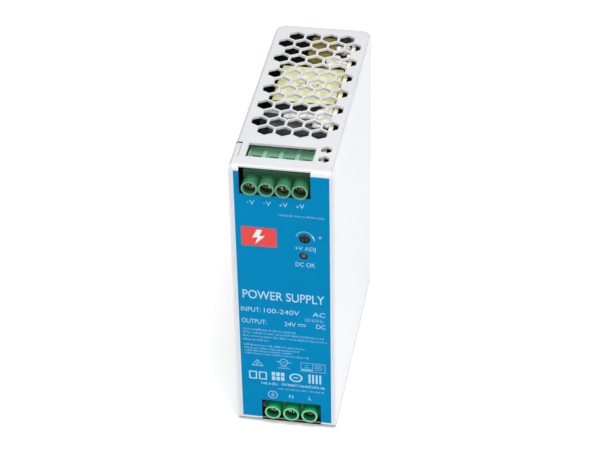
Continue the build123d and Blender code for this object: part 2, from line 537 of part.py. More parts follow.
# ================================================================ rail clip
YC = YB                                     # the bracket lies on the rear panel
YP = YC + 5.6                               # face that the rail rests on
with BuildPart() as din_bracket:
    block(-19.0, -9.5, YC, YC + 1.2, RAIL_Z - 17, RAIL_Z + 19.5)           # ears, also the front guides of the latch
    block(9.5, 19.0, YC, YC + 1.2, RAIL_Z - 17, RAIL_Z + 19.5)
    block(-12.8, -11.6, YC, YP - 0.3, RAIL_Z - 17, RAIL_Z + 19.5)                # side walls
    block(11.6, 12.8, YC, YP - 0.3, RAIL_Z - 17, RAIL_Z + 19.5)
    block(-12.8, 12.8, YP - 1.4, YP - 0.3, RAIL_Z - 17, RAIL_Z + 19.5)     # platform
    block(-12.0, 12.0, YP - 0.4, YP, RAIL_Z - 13.8, RAIL_Z + 13.8)         # embossed seat for the rail
    block(-12.8, 12.8, YP - 1.0, YR, RAIL_Z + 17.8, RAIL_Z + 19.5)         # upper hook
    block(-12.8, 12.8, YP + 1.5, YR, RAIL_Z + 14.2, RAIL_Z + 18.5)
    fillet(din_bracket.edges().filter_by(Axis.X).group_by(Axis.Y)[-1], 0.8)
    # stop that the spring stands on, pressed inwards from the platform
    block(-1.6, 1.6, YC + 0.3, YP - 1.0, RAIL_Z - 11.0, RAIL_Z - 9.8)
    for x, z in BRACKET_SCREWS:
        rod_y(x, z, 1.6, YC - 1, YC + 3, mode=Mode.SUBTRACT)
save(din_bracket.part, "din_bracket")

with BuildPart() as bracket_screws:
    for x, z in BRACKET_SCREWS:
        rod_y(x, z, 2.6, YC + 1.2, YC + 2.8)
        rod_y(x, z, 1.3, YC - 2.4, YC + 1.2)
    fillet(bracket_screws.edges().filter_by(GeomType.CIRCLE).group_by(Axis.Y)[-1], 0.7)
    for x, z in BRACKET_SCREWS:
        block(x - 1.5, x + 1.5, YC + 2.0, YC + 4, z - 0.3, z + 0.3, mode=Mode.SUBTRACT)
        block(x - 0.3, x + 0.3, YC + 2.0, YC + 4, z - 1.5, z + 1.5, mode=Mode.SUBTRACT)
save(bracket_screws.part, "bracket_screws")

with BuildPart() as din_latch:
    block(-11.3, 11.3, YC + 1.5, YC + 3.9, RAIL_Z - 17.5, RAIL_Z + 8.0)
    block(-9.0, 9.0, YC + 1.5, YC + 3.9, RAIL_Z - 46.0, RAIL_Z - 17.0)
    fillet(din_latch.edges().filter_by(Axis.Y).group_by(Axis.Z)[0], 3.0)
    # window for the spring and the stop
    block(-2.4, 2.4, YC + 1, YC + 4, RAIL_Z - 16.6, RAIL_Z + 4.6, mode=Mode.SUBTRACT)
    # slot for a screwdriver, to pull the latch down
    block(-4.5, 4.5, YC + 1, YC + 4, RAIL_Z - 42.5, RAIL_Z - 38.0, mode=Mode.SUBTRACT)
    # hook under the rail
    with BuildSketch(Plane.YZ.offset(-8.0)):
        with BuildLine():
            Polyline(
                (YC + 2.0, RAIL_Z - 17.8), (YP + 1.5, RAIL_Z - 17.8), (YP + 1.5, RAIL_Z - 14.4), (YP + 2.4, RAIL_Z - 14.4),
                (YR, RAIL_Z - 16.2), (YR, RAIL_Z - 17.6), (YP + 1.0, RAIL_Z - 21.5), (YC + 2.0, RAIL_Z - 21.5),
                close=True,
            )
        make_face()
    extrude(amount=16.0)
save(din_latch.part, "din_latch")

SPRING_Z0, SPRING_Z1 = RAIL_Z - 9.7, RAIL_Z + 4.5
SPRING_Y = YC + 2.3
with BuildPart() as latch_spring:
    with BuildLine(Plane.XY.offset(SPRING_Z0 + 0.3)):
        coil = Helix(pitch=(SPRING_Z1 - SPRING_Z0 - 0.6) / 7, height=SPRING_Z1 - SPRING_Z0 - 0.6, radius=1.5)
    with BuildSketch(Plane(origin=coil @ 0, z_dir=coil % 0)):
        Circle(0.25)
    sweep(is_frenet=True)
save(Pos(0, SPRING_Y, 0) * latch_spring.part, "latch_spring")
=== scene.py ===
import json
import math
import random

import bmesh
import bpy
from mathutils import Matrix, Vector


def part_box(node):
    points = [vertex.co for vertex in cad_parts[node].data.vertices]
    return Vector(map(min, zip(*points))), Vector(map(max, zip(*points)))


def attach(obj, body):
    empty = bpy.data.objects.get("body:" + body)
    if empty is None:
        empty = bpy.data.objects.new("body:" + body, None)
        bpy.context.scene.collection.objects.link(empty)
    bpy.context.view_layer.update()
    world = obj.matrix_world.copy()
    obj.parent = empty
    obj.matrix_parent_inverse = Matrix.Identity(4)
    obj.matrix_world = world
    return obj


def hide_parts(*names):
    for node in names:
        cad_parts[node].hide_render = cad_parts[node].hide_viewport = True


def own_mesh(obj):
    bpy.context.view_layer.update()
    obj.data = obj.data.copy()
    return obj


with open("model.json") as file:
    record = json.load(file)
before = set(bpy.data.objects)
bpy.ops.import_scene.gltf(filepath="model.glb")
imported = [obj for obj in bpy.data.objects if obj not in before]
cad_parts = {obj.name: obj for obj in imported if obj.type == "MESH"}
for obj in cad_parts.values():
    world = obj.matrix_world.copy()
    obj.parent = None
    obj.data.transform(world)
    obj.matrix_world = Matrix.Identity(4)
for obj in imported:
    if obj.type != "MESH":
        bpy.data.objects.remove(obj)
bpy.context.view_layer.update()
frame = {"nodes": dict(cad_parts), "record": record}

NODES = frame["nodes"]
MM = 0.001
YF = -0.05575          # outer face of the front panel
SCN = bpy.context.scene

# ------------------------------------------------------------------ node helpers


class Mat:
    """Small builder for procedural materials."""

    def __init__(self, name):
        self.m = bpy.data.materials.new(name)
        self.m.use_nodes = True
        self.t = self.m.node_tree
        self.t.nodes.clear()
        self.out = self.t.nodes.new("ShaderNodeOutputMaterial")
        self.b = self.t.nodes.new("ShaderNodeBsdfPrincipled")
        self.t.links.new(self.b.outputs["BSDF"], self.out.inputs["Surface"])
        self.co = self.t.nodes.new("ShaderNodeTexCoord").outputs["Object"]

    def n(self, kind, **kw):
        node = self.t.nodes.new(kind)
        for k, v in kw.items():
            setattr(node, k, v)
        return node

    def link(self, a, b):
        self.t.links.new(a, b)

    def val(self, socket, value):
        if hasattr(value, "is_linked") or isinstance(value, bpy.types.NodeSocket):
            self.link(value, socket)
        else:
            socket.default_value = value

    def mapped(self, scale=(1, 1, 1), loc=(0, 0, 0), rot=(0, 0, 0)):
        mp = self.n("ShaderNodeMapping")
        self.link(self.co, mp.inputs["Vector"])
        mp.inputs["Scale"].default_value = scale
        mp.inputs["Location"].default_value = loc
        mp.inputs["Rotation"].default_value = rot
        return mp.outputs["Vector"]

    def noise(self, scale, detail=4.0, rough=0.55, vec=None, dist=0.0):
        nz = self.n("ShaderNodeTexNoise")
        self.link(vec if vec is not None else self.co, nz.inputs["Vector"])
        nz.inputs["Scale"].default_value = scale
        nz.inputs["Detail"].default_value = detail
        nz.inputs["Roughness"].default_value = rough
        nz.inputs["Distortion"].default_value = dist
        return nz.outputs["Fac"]

    def voronoi(self, scale, vec=None, feature="F1", out="Distance", rand=1.0):
        v = self.n("ShaderNodeTexVoronoi", feature=feature)
        self.link(vec if vec is not None else self.co, v.inputs["Vector"])
        v.inputs["Scale"].default_value = scale
        v.inputs["Randomness"].default_value = rand
        return v.outputs[out]

    def wave(self, scale, vec=None, direction="X", dist=0.0, detail=2.0, dscale=1.0, kind="BANDS", profile="SIN"):
        w = self.n("ShaderNodeTexWave", wave_type=kind, wave_profile=profile)
        if kind == "BANDS":
            w.bands_direction = direction
        else:
            w.rings_direction = direction
        self.link(vec if vec is not None else self.co, w.inputs["Vector"])
        w.inputs["Scale"].default_value = scale
        w.inputs["Distortion"].default_value = dist
        w.inputs["Detail"].default_value = detail
        w.inputs["Detail Scale"].default_value = dscale
        return w.outputs["Fac"]

    def ramp(self, fac, stops, interp="LINEAR"):
        r = self.n("ShaderNodeValToRGB")
        r.color_ramp.interpolation = interp
        els = r.color_ramp.elements
        while len(els) > 1:
            els.remove(els[-1])
        els[0].position = stops[0][0]
        els[0].color = rgba(stops[0][1])
        for p, c in stops[1:]:
            e = els.new(p)
            e.color = rgba(c)
        self.link(fac, r.inputs["Fac"])
        return r.outputs["Color"]

    def mix(self, fac, a, b, kind="MIX"):
        x = self.n("ShaderNodeMix", data_type="RGBA", blend_type=kind)
        self.val(x.inputs["Factor"], fac)
        for key, v in (("A", a), ("B", b)):
            s = [i for i in x.inputs if i.name == key and i.type == "RGBA"][0]
            self.val(s, rgba(v) if isinstance(v, (tuple, list)) else v)
        return [o for o in x.outputs if o.type == "RGBA"][0]

    def math(self, op, a, b=0.0, c=0.0, clamp=False):
        x = self.n("ShaderNodeMath", operation=op, use_clamp=clamp)
        self.val(x.inputs[0], a)
        self.val(x.inputs[1], b)
        if op in ("MULTIPLY_ADD", "SMOOTH_MAX", "SMOOTH_MIN", "COMPARE", "WRAP"):
            self.val(x.inputs[2], c)
        return x.outputs[0]

    def rng(self, fac, a0, a1, b0, b1, smooth=False):
        x = self.n("ShaderNodeMapRange", interpolation_type="SMOOTHSTEP" if smooth else "LINEAR")
        self.link(fac, x.inputs["Value"])
        for k, v in (("From Min", a0), ("From Max", a1), ("To Min", b0), ("To Max", b1)):
            x.inputs[k].default_value = v
        return x.outputs["Result"]

    def xyz(self, vec=None):
        s = self.n("ShaderNodeSeparateXYZ")
        self.link(vec if vec is not None else self.co, s.inputs[0])
        return s.outputs

    def bump(self, height, dist, strength=1.0, normal=None):
        b = self.n("ShaderNodeBump")
        self.link(height, b.inputs["Height"])
        b.inputs["Distance"].default_value = dist
        b.inputs["Strength"].default_value = strength
        if normal is not None:
            self.link(normal, b.inputs["Normal"])
        return b.outputs["Normal"]

    def edges(self, radius, low=0.82, high=0.98):
        """1 on convex edges, 0 elsewhere."""
        bev = self.n("ShaderNodeBevel", samples=4)
        bev.inputs["Radius"].default_value = radius
        geo = self.n("ShaderNodeNewGeometry")
        dot = self.n("ShaderNodeVectorMath", operation="DOT_PRODUCT")
        self.link(bev.outputs[0], dot.inputs[0])
        self.link(geo.outputs["Normal"], dot.inputs[1])
        return self.rng(dot.outputs["Value"], low, high, 1.0, 0.0)

    def round_normal(self, radius):
        bev = self.n("ShaderNodeBevel", samples=6)
        bev.inputs["Radius"].default_value = radius
        return bev.outputs[0]

    def set(self, **kw):
        names = dict(color="Base Color", rough="Roughness", metal="Metallic", normal="Normal", spec="Specular IOR Level",
                     coat="Coat Weight", coat_rough="Coat Roughness", sheen="Sheen Weight", trans="Transmission Weight",
                     sss="Subsurface Weight", sss_scale="Subsurface Scale", sss_radius="Subsurface Radius", ior="IOR", alpha="Alpha",
                     aniso="Anisotropic", emit="Emission Color", emit_s="Emission Strength")
        for k, v in kw.items():
            s = self.b.inputs[names[k]]
            if isinstance(v, bpy.types.NodeSocket):
                self.link(v, s)
            elif isinstance(v, (tuple, list)) and len(v) == 3 and s.type == "RGBA":
                s.default_value = rgba(v)
            else:
                s.default_value = v
        return self


def rgba(c):
    c = tuple(c)
    return c if len(c) == 4 else c + (1.0,)


def lin(r, g, b):
    """sRGB 0..255 to linear."""
    def f(x):
        x /= 255.0
        return x / 12.92 if x <= 0.04045 else ((x + 0.055) / 1.055) ** 2.4
    return (f(r), f(g), f(b))


def shade(c, k):
    return tuple(min(1.0, x * k) for x in c)


# ------------------------------------------------------------------ materials
def m_powder(name, base, shaded_cuts=False):
    """Fine powder coat on sheet steel: orange peel, slight tone changes, a trace of handling marks, thinner on edges.
    With the flag set, the sheared edges of the openings in the front panel get a near-black bare steel colour that is
    painted shade, and the turn of the lower edges gets a painted contact shadow."""
    m = Mat(name)
    peel = m.noise(2600, 3, 0.5)
    peel2 = m.noise(900, 2, 0.5)
    cloud = m.noise(38, 4, 0.6)
    speck = m.voronoi(900)
    c0 = m.ramp(cloud, [(0.3, shade(base, 0.965)), (0.7, shade(base, 1.015))])
    dots = m.rng(speck, 0.03, 0.07, 0.10, 0.0)
    c1 = m.mix(dots, c0, shade(base, 0.72))
    edge = m.edges(0.00035, 0.80, 0.99)
    worn = m.math("MULTIPLY", edge, m.rng(m.noise(420, 3), 0.45, 0.65, 0.05, 0.40))
    c2 = m.mix(worn, c1, shade(base, 0.80))
    rough = m.rng(m.math("ADD", m.math("MULTIPLY", cloud, 0.6), m.math("MULTIPLY", peel2, 0.4)), 0.3, 0.7, 0.36, 0.50)
    nrm = m.bump(peel, 0.00002, 0.55, m.bump(peel2, 0.00003, 0.35, m.round_normal(0.00022)))
    if shaded_cuts:
        # painted shade: the sheared faces of the openings, the upward face at the bottom of the lower opening and a
        # strip at the rear edge of the upper opening get a near-black steel colour in place of their lit tone
        geo = m.n("ShaderNodeNewGeometry")
        ny = m.math("ABSOLUTE", m.xyz(geo.outputs["True Normal"])["Y"])
        p = m.xyz()
        k = m.math("LESS_THAN", ny, 0.5)
        k = m.math("MULTIPLY", k, m.math("LESS_THAN", p["Y"], YF + 0.00104))
        k = m.math("MULTIPLY", k, m.math("LESS_THAN", m.math("ABSOLUTE", p["X"]), 0.0175))
        k = m.math("MULTIPLY", k, m.math("COMPARE", p["Z"], 0.0627, 0.0618))
        up_face_shade = m.math("MULTIPLY", m.math("GREATER_THAN", m.xyz(geo.outputs["True Normal"])["Z"], 0.5), m.math("COMPARE", p["Z"], 0.0010, 0.0002))
        up_face_shade = m.math("MULTIPLY", up_face_shade, m.math("LESS_THAN", p["Y"], YF + 0.0075))
        rear_edge_shade = m.math("MULTIPLY", m.math("COMPARE", p["Y"], YF + 0.01590, 0.00022), m.math("LESS_THAN", p["X"], -0.0172))
        rear_edge_shade = m.math("MULTIPLY", rear_edge_shade, m.math("GREATER_THAN", p["Z"], 0.1235))
        k = m.math("MAXIMUM", m.math("MAXIMUM", k, up_face_shade), rear_edge_shade)
        steel = m.ramp(m.noise(1500, 4, 0.7), [(0.3, (0.008, 0.008, 0.008)), (0.7, (0.022, 0.021, 0.020))])
        c2 = m.mix(k, c2, steel)
        # painted contact shadow: a near-black band on the turn of the lower edges and on the lowest millimetre of
        # side-facing faces, where the case meets the floor
        tz = m.xyz(geo.outputs["True Normal"])["Z"]
        low = m.math("MULTIPLY", m.rng(p["Z"], 0.0011, 0.0017, 1.0, 0.0), m.math("COMPARE", tz, -0.46, 0.52))
        foot_shade = m.math("MULTIPLY", m.rng(p["Z"], 0.0006, 0.0010, 1.0, 0.0), m.math("COMPARE", tz, 0.0, 0.5))
        low = m.math("MAXIMUM", low, foot_shade)
        c2 = m.mix(m.math("MULTIPLY", low, m.rng(m.noise(260, 3, 0.6), 0.3, 0.7, 0.88, 0.98)), c2, (0.018, 0.018, 0.019))
    m.set(color=c2, rough=rough, normal=nrm, spec=0.5)
    return m.m


def m_print(name, base, deep=0.9, gloss=0.32):
    """Screen-printed polyester film."""
    m = Mat(name)
    cloud = m.noise(60, 4, 0.55)
    grain = m.noise(2400, 2, 0.5)
    c = m.ramp(cloud, [(0.3, shade(base, deep)), (0.7, base)])
    scratch = m.noise(90, 5, 0.7, m.mapped((1, 1, 0.05), rot=(0, 0.4, 0)))
    c = m.mix(m.rng(scratch, 0.68, 0.76, 0, 0.10), c, shade(base, 1.35))
    nrm = m.bump(grain, 0.00001, 0.5)
    m.set(color=c, rough=m.rng(cloud, 0.3, 0.7, gloss, gloss + 0.10), normal=nrm, spec=0.02)
    return m.m


def m_ink(name, base):
    m = Mat(name)
    c = m.ramp(m.noise(1500, 3), [(0.3, shade(base, 0.9)), (0.7, base)])
    m.set(color=c, rough=m.rng(m.noise(300, 2), 0.3, 0.7, 0.38, 0.5), normal=m.bump(m.noise(3000, 2), 0.00001, 0.4))
    return m.m


def m_green(name, base, light, rough, x0, pitch, zc, bore, side, rim_highlight):
    """Glass-filled polyamide of a terminal block: soft flow marks and fine pits. Painted highlights in a paler tone on
    the convex moulded edges, the front rims of the tubes, the wire entry funnels and the rib tops between them;
    painted shade inside the bores, on the recessed front face behind the tubes and in dark slots at the bottom of each
    entry."""
    m = Mat(name)
    flow = m.noise(160, 5, 0.6, m.mapped((1, 0.35, 1)), 0.6)
    fibre = m.noise(1900, 3, 0.6, m.mapped((1, 0.3, 1)))
    edge = m.edges(0.00022, 0.75, 0.98)
    c = m.ramp(flow, [(0.25, shade(base, 0.85)), (0.75, shade(base, 1.18))])
    # painted highlight: convex moulded edges mixed toward the paler tone
    c = m.mix(m.math("MULTIPLY", edge, 0.55), c, light)
    pits = m.voronoi(2200)
    c = m.mix(m.rng(pits, 0.02, 0.10, 0.25, 0.0), c, shade(base, 0.6))
    geo = m.n("ShaderNodeNewGeometry")
    nn = m.xyz(geo.outputs["True Normal"])
    p = m.xyz()
    cell = m.math("FRACT", m.math("ADD", m.math("DIVIDE", m.math("SUBTRACT", p["X"], x0), pitch), 0.5))
    dx = m.math("MULTIPLY", m.math("SUBTRACT", cell, 0.5), pitch)
    dz = m.math("SUBTRACT", p["Z"], zc)
    rad = m.math("SQRT", m.math("ADD", m.math("MULTIPLY", dx, dx), m.math("MULTIPLY", dz, dz)))
    front = m.math("LESS_THAN", nn["Y"], -0.9)
    # painted shade: inside the bores, darker towards the depth of each tube
    bore_shade = m.math("MULTIPLY", m.math("LESS_THAN", rad, bore + 0.00006), m.math("LESS_THAN", m.math("ABSOLUTE", nn["Y"]), 0.5))
    bore_shade = m.math("MULTIPLY", bore_shade, m.rng(p["Y"], YF - 0.0010, YF + 0.0022, 0.30, 0.90))
    c = m.mix(bore_shade, c, shade(base, 0.16))
    # painted shade: the recessed front face behind the tubes, standing for the shade under the top panel
    recess_shade = m.math("MULTIPLY", front, m.math("GREATER_THAN", p["Y"], YF + 0.0030))
    c = m.mix(m.math("MULTIPLY", recess_shade, 0.80), c, shade(base, 0.30))
    # painted highlight: the front rims of the tubes in the paler tone
    c = m.mix(m.math("MULTIPLY", m.math("MULTIPLY", front, m.math("LESS_THAN", p["Y"], YF - 0.0008)), rim_highlight), c, light)
    # painted highlight: the wire entry funnels mixed toward the paler tone
    entry = m.math("GREATER_THAN", m.math("MULTIPLY", dz, side), 0.0024)
    entry = m.math("MULTIPLY", entry, m.math("GREATER_THAN", p["Y"], YF + 0.0092))
    entry = m.math("MULTIPLY", entry, m.math("LESS_THAN", rad, 0.0095))
    c = m.mix(m.math("MULTIPLY", entry, 0.42), c, light)
    # painted shade: near-black slots at the bottom of each wire entry
    foot_shade = m.math("MULTIPLY", m.math("MULTIPLY", entry, m.math("LESS_THAN", m.math("MULTIPLY", dz, side), 0.0035)),
                  m.math("LESS_THAN", m.math("ABSOLUTE", dx), 0.0017))
    c = m.mix(m.math("MULTIPLY", foot_shade, 0.9), c, (0.004, 0.008, 0.005))
    # painted highlight: the rib tops between the wire entries in the paler tone
    rib_highlight = m.math("MULTIPLY", entry, m.math("GREATER_THAN", m.math("ABSOLUTE", dx), 0.00232))
    c = m.mix(m.math("MULTIPLY", rib_highlight, 0.55), c, light)
    nrm = m.bump(fibre, 0.00002, 0.45, m.bump(flow, 0.00003, 0.3, m.round_normal(0.00018)))
    m.set(color=c, rough=m.rng(fibre, 0.3, 0.7, rough, rough + 0.14), normal=nrm, spec=0.5, sss=0.06, sss_scale=0.001,
          sss_radius=(0.4, 1.0, 0.5))
    return m.m


def m_metal(name, base, rough=0.28, streak=(1, 1, 0.06), tint=None, wear=0.3, scale=700):
    """Plated or drawn metal with streaks, stains and bright edges."""
    m = Mat(name)
    st = m.noise(scale, 5, 0.65, m.mapped(streak))
    blot = m.noise(140, 4, 0.6)
    fine = m.noise(3200, 2, 0.5)
    c = m.ramp(blot, [(0.3, shade(base, 0.86)), (0.7, shade(base, 1.06))])
    if tint is not None:
        c = m.mix(m.rng(m.noise(95, 4, 0.6), 0.5, 0.75, 0.0, 0.35), c, tint)
    edge = m.edges(0.00015, 0.75, 0.98)
    c = m.mix(m.math("MULTIPLY", edge, wear), c, shade(base, 1.3))
    r = m.rng(m.math("ADD", m.math("MULTIPLY", st, 0.6), m.math("MULTIPLY", blot, 0.4)), 0.3, 0.7, rough * 0.75, rough * 1.35)
    nrm = m.bump(st, 0.00001, 0.55, m.bump(fine, 0.000006, 0.4, m.round_normal(0.00012)))
    m.set(color=c, metal=1.0, rough=r, normal=nrm)
    return m.m


def m_screw(name, base):
    """Terminal screw: bright chromated head with tool marks that glint, dark drive recess, and painted shade on
    everything more than about 2 mm behind the front face, deep in the bore.
    """
    m = Mat(name)
    blot = m.noise(900, 4, 0.65)
    c = m.ramp(blot, [(0.44, (0.055, 0.036, 0.026)), (0.54, base)])
    p = m.xyz()
    # painted shade on the parts more than 2.15 mm behind the front face, deep inside the tube
    deep = m.math("GREATER_THAN", p["Y"], YF + 0.00215)
    c = m.mix(m.math("MULTIPLY", deep, 0.75), c, (0.05, 0.028, 0.018))
    g = m.noise(1100, 3, 0.55)
    nrm = m.bump(g, 0.0006, 0.9, m.bump(m.noise(3600, 2), 0.00003, 0.5, m.round_normal(0.00025)))
    m.set(color=c, metal=m.rng(blot, 0.3, 0.6, 0.55, 1.0), rough=m.rng(blot, 0.3, 0.7, 0.42, 0.20), normal=nrm)
    return m.m


def m_plastic(name, base, rough=0.4, grain=1400, bumpd=0.00002, alt=None, spec=0.5, edge_highlight_w=0.25):
    m = Mat(name)
    cloud = m.noise(110, 4, 0.55)
    g = m.noise(grain, 3, 0.55)
    c = m.ramp(cloud, [(0.3, shade(base, 0.82)), (0.7, shade(base, 1.12))])
    if alt is not None:
        c = m.mix(m.rng(m.noise(230, 5, 0.65), 0.5, 0.7, 0.0, 0.6), c, alt)
    # painted highlight: convex edges mixed toward a paler tone
    edge = m.edges(0.0002, 0.75, 0.98)
    c = m.mix(m.math("MULTIPLY", edge, edge_highlight_w), c, tuple(min(1, x * 1.6 + 0.02) for x in base))
    nrm = m.bump(g, bumpd, 0.5, m.round_normal(0.00015))
    m.set(color=c, rough=m.rng(g, 0.3, 0.7, rough, rough + 0.15), normal=nrm, spec=spec)
    return m.m


def m_board(name, axis="X", bare=None):
    """Circuit board: glass-epoxy body with a fibrous cut edge; bare laminate with white legend lines on the component
    side, green mask with copper tracks and solder dots on the other."""
    m = Mat(name)
    geo = m.n("ShaderNodeNewGeometry")
    nx = m.xyz(geo.outputs["Normal"])
    comp = m.rng(nx[axis], -0.90, -0.80, 1.0, 0.0)
    sold = m.rng(nx[axis], 0.80, 0.90, 0.0, 1.0)
    across = (1, 0.15, 0.15) if axis == "X" else (0.15, 1, 0.15)
    lay = m.wave(900, direction=axis, dist=1.2, detail=3, dscale=6)
    fib = m.noise(2600, 4, 0.7, m.mapped(across))
    e = m.ramp(m.math("ADD", m.math("MULTIPLY", lay, 0.35), m.math("MULTIPLY", fib, 0.65)),
               [(0.22, lin(232, 206, 156)), (0.5, lin(255, 246, 220)), (0.8, lin(255, 252, 238))])
    weave = m.wave(420, direction="Z", dist=0.4, detail=1)
    b0 = bare if bare is not None else lin(216, 197, 138)
    face = m.ramp(m.noise(300, 4, 0.6), [(0.3, shade(b0, 0.85)), (0.7, shade(b0, 1.05))])
    face = m.mix(m.rng(weave, 0.0, 0.3, 0.10, 0.0), face, shade(b0, 0.7))
    leg = m.voronoi(120, feature="DISTANCE_TO_EDGE", out="Distance", rand=0.6)
    face = m.mix(m.rng(leg, 0.012, 0.02, 0.8, 0.0), face, lin(246, 246, 240))
    tr = m.voronoi(160, feature="DISTANCE_TO_EDGE", out="Distance", rand=0.8)
    mask = m.ramp(tr, [(0.02, lin(28, 92, 52)), (0.05, lin(38, 120, 66))])
    pad = m.voronoi(330, rand=0.9)
    mask = m.mix(m.rng(pad, 0.10, 0.14, 0.7, 0.0), mask, lin(196, 196, 190))
    c = m.mix(sold, m.mix(comp, e, face), mask)
    nrm = m.bump(m.math("ADD", m.math("MULTIPLY", tr, 0.6), m.math("MULTIPLY", fib, 0.4)), 0.00003, 0.6)
    m.set(color=c, rough=m.math("SUBTRACT", 0.62, m.math("MULTIPLY", sold, 0.3)), normal=nrm)
    return m.m


def m_tape(name):
    """Polyester tape wound round a core: nearly smooth, lapped edges, a warm translucent yellow."""
    m = Mat(name)
    base = lin(255, 251, 206)
    z = m.xyz()
    lap = m.wave(26, direction="Y", dist=0.35, detail=1, dscale=2, profile="SAW")
    cloud = m.noise(120, 4, 0.6)
    c = m.ramp(cloud, [(0.3, shade(base, 0.88)), (0.7, shade(base, 1.05))])
    c = m.mix(m.rng(lap, 0.93, 1.0, 0.0, 0.45), c, lin(206, 188, 96))
    far = m.math("ABSOLUTE", m.math("SUBTRACT", z["X"], -0.00135))
    c = m.mix(m.rng(far, 0.0085, 0.0125, 0.0, 0.5), c, lin(236, 222, 128))
    wr = m.noise(70, 3, 0.6, m.mapped((1, 0.2, 1)))
    nrm = m.bump(lap, 0.00006, 0.35, m.bump(wr, 0.00012, 0.3))
    m.set(color=c, rough=m.rng(cloud, 0.3, 0.7, 0.22, 0.36), normal=nrm, coat=0.4, coat_rough=0.12, sss=0.08, sss_scale=0.001)
    return m.m


def m_ferrite(name):
    m = Mat(name)
    base = (0.045, 0.043, 0.046)
    g = m.noise(1700, 4, 0.7)
    chips = m.voronoi(500)
    c = m.ramp(g, [(0.3, shade(base, 0.7)), (0.7, shade(base, 1.5))])
    nrm = m.bump(g, 0.00003, 0.6, m.bump(chips, 0.00004, 0.25, m.round_normal(0.0002)))
    m.set(color=c, rough=m.rng(g, 0.3, 0.7, 0.42, 0.62), normal=nrm)
    return m.m


def m_copper(name, direction="Z", pitch=0.0009):
    m = Mat(name)
    base = (0.42, 0.13, 0.035)
    w = m.wave(1.0 / pitch / 6.2832 * 3.1416, direction=direction, dist=0.6, detail=2, dscale=3)
    c = m.ramp(m.noise(400, 3), [(0.3, shade(base, 0.7)), (0.7, shade(base, 1.3))])
    # painted shade: dark grooves between the turns of wire
    c = m.mix(m.rng(w, 0.0, 0.25, 0.75, 0.0), c, shade(base, 0.2))
    m.set(color=c, metal=0.55, rough=m.rng(w, 0, 1, 0.42, 0.22), normal=m.bump(w, 0.0002, 0.7), coat=0.5, coat_rough=0.15)
    return m.m


def m_silicone(name):
    m = Mat(name)
    base = lin(244, 242, 236)
    g = m.noise(260, 4, 0.6)
    c = m.ramp(g, [(0.3, shade(base, 0.9)), (0.7, base)])
    m.set(color=c, rough=m.rng(g, 0.3, 0.7, 0.30, 0.48), normal=m.bump(g, 0.0002, 0.5), sss=0.25, sss_scale=0.0015,
          sss_radius=(1.0, 0.9, 0.8))
    return m.m


def m_film(name):
    m = Mat(name)
    """Black insulating film with a soft gloss, slightly wavy, with fine rub marks."""
    base = (0.024, 0.0215, 0.016)
    g = m.noise(60, 3, 0.5)
    rub = m.noise(240, 5, 0.7, m.mapped((1, 1, 0.08)))
    c = m.ramp(g, [(0.3, shade(base, 0.7)), (0.7, shade(base, 1.3))])
    c = m.mix(m.rng(rub, 0.60, 0.72, 0.0, 0.25), c, (0.06, 0.055, 0.045))
    m.set(color=c, rough=m.rng(rub, 0.3, 0.7, 0.20, 0.36), normal=m.bump(m.noise(70, 3), 0.0007, 0.5))
    return m.m


def m_sleeve(name, base, top):
    """Capacitor: printed sleeve on its side, bare aluminium on its end."""
    m = Mat(name)
    geo = m.n("ShaderNodeNewGeometry")
    nx = m.xyz(geo.outputs["Normal"])
    end = m.rng(nx["X"], -0.97, -0.93, 1.0, 0.0)
    g = m.noise(700, 4, 0.6)
    c = m.ramp(g, [(0.3, shade(base, 0.8)), (0.7, shade(base, 1.3))])
    pos = m.xyz()
    c = m.mix(end, c, m.ramp(m.noise(900, 4, 0.7), [(0.3, shade(top, 0.8)), (0.7, top)]))
    m.set(color=c, metal=end, rough=m.rng(g, 0.3, 0.7, 0.26, 0.42), normal=m.bump(m.noise(260, 3), 0.00006, 0.5))
    return m.m


WHITE = lin(216, 218, 221)
BLUE = (0.0, 0.216, 0.452)
MATS = {}
MATS["case_paint"] = m_powder("paint_light", WHITE)
MATS["front_print"] = m_print("film_blue", BLUE)
MATS["output_block_plastic"] = m_green("polyamide_green_a", lin(60, 132, 92), lin(158, 212, 180), 0.34, -0.01195, 0.00635, 0.1161, 0.00245, 1, 0.10)
MATS["input_block_plastic"] = m_green("polyamide_green_b", lin(12, 168, 102), lin(190, 244, 196), 0.28, -0.0056, 0.0075, 0.0060, 0.0026, -1, 0.34)
MATS["screw_steel"] = m_metal("zinc_screw", (0.62, 0.61, 0.57), 0.30, (1, 1, 0.2), tint=(0.55, 0.50, 0.36))
MATS["terminal_steel"] = m_metal("zinc_terminal", (0.92, 0.88, 0.84), 0.16, (1, 1, 0.2), tint=(0.36, 0.27, 0.20))
MATS["contact_brass"] = m_metal("tinned_contact", (0.78, 0.74, 0.62), 0.3, (1, 0.1, 1))
MATS["standoff_brass"] = m_metal("turned_brass", (0.72, 0.52, 0.22), 0.28, (0.2, 1, 1))
MATS["board_laminate"] = m_board("board_laminate")
MATS["insulation_film"] = m_film("black_film")
